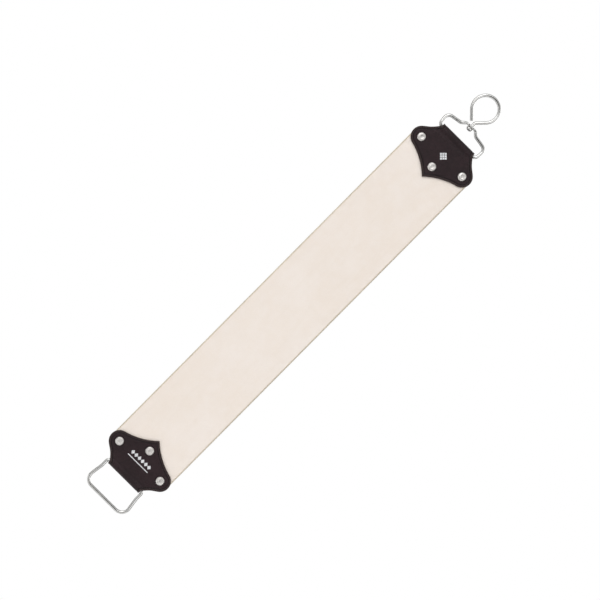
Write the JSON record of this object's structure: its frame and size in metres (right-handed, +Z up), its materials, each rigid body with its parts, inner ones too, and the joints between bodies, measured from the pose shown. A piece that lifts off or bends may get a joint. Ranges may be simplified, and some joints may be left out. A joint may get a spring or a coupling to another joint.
{
  "type": "hanging razor strop",
  "caption": "Hanging strop: a leather strap backed by linen, in riveted leather chapes folded over a wire bail with a swivel ring at the top and a wire handle loop at the bottom.",
  "frame": {"origin": "on the swivel's axis, level with the inside of the ring's top, where a hook carries the strop", "axes": "+Z up along the hanging strop, +X to the right across the strap seen from the leather side, -Y out of the leather's face"},
  "size_m": [0.0764, 0.012, 0.5453],
  "materials": {
    "strap_leather": "natural cream, smooth grain side, cut edges",
    "linen": "closely woven grey linen webbing",
    "chape_leather": "black-brown, fine grain, creased border line, painted edges",
    "nickel": "satin nickel plate",
    "bright_wire": "bright plated wire"
  },
  "bodies": {
    "ring": {"swivel_ring": "bright_wire"},
    "bail": {"top_bail": "bright_wire"},
    "strop": {"leather_strap": "strap_leather", "linen_strap": "linen", "top_chape": "chape_leather", "bottom_chape": "chape_leather", "top_left_rivet_cap": "nickel", "top_left_rivet_post": "nickel", "top_right_rivet_cap": "nickel", "top_right_rivet_post": "nickel", "top_tip_rivet_cap": "nickel", "top_tip_rivet_post": "nickel", "bottom_left_rivet_cap": "nickel", "bottom_left_rivet_post": "nickel", "bottom_right_rivet_cap": "nickel", "bottom_right_rivet_post": "nickel", "bottom_tip_rivet_cap": "nickel", "bottom_tip_rivet_post": "nickel"},
    "handle": {"handle_loop": "bright_wire"}
  },
  "joints": [
    {"name": "swivel", "type": "hinge", "parent": "ring", "child": "bail", "pos_m": [0, 0, -0.03381], "axis": [0, 0, 1], "continuous": true},
    {"name": "top_fold", "type": "hinge", "parent": "bail", "child": "strop", "pos_m": [0, 0, -0.05331], "axis": [1, 0, 0], "range_deg": [-100, 100]},
    {"name": "bottom_fold", "type": "hinge", "parent": "strop", "child": "handle", "pos_m": [0, 0, -0.50991], "axis": [1, 0, 0], "range_deg": [-85, 85]}
  ]
}
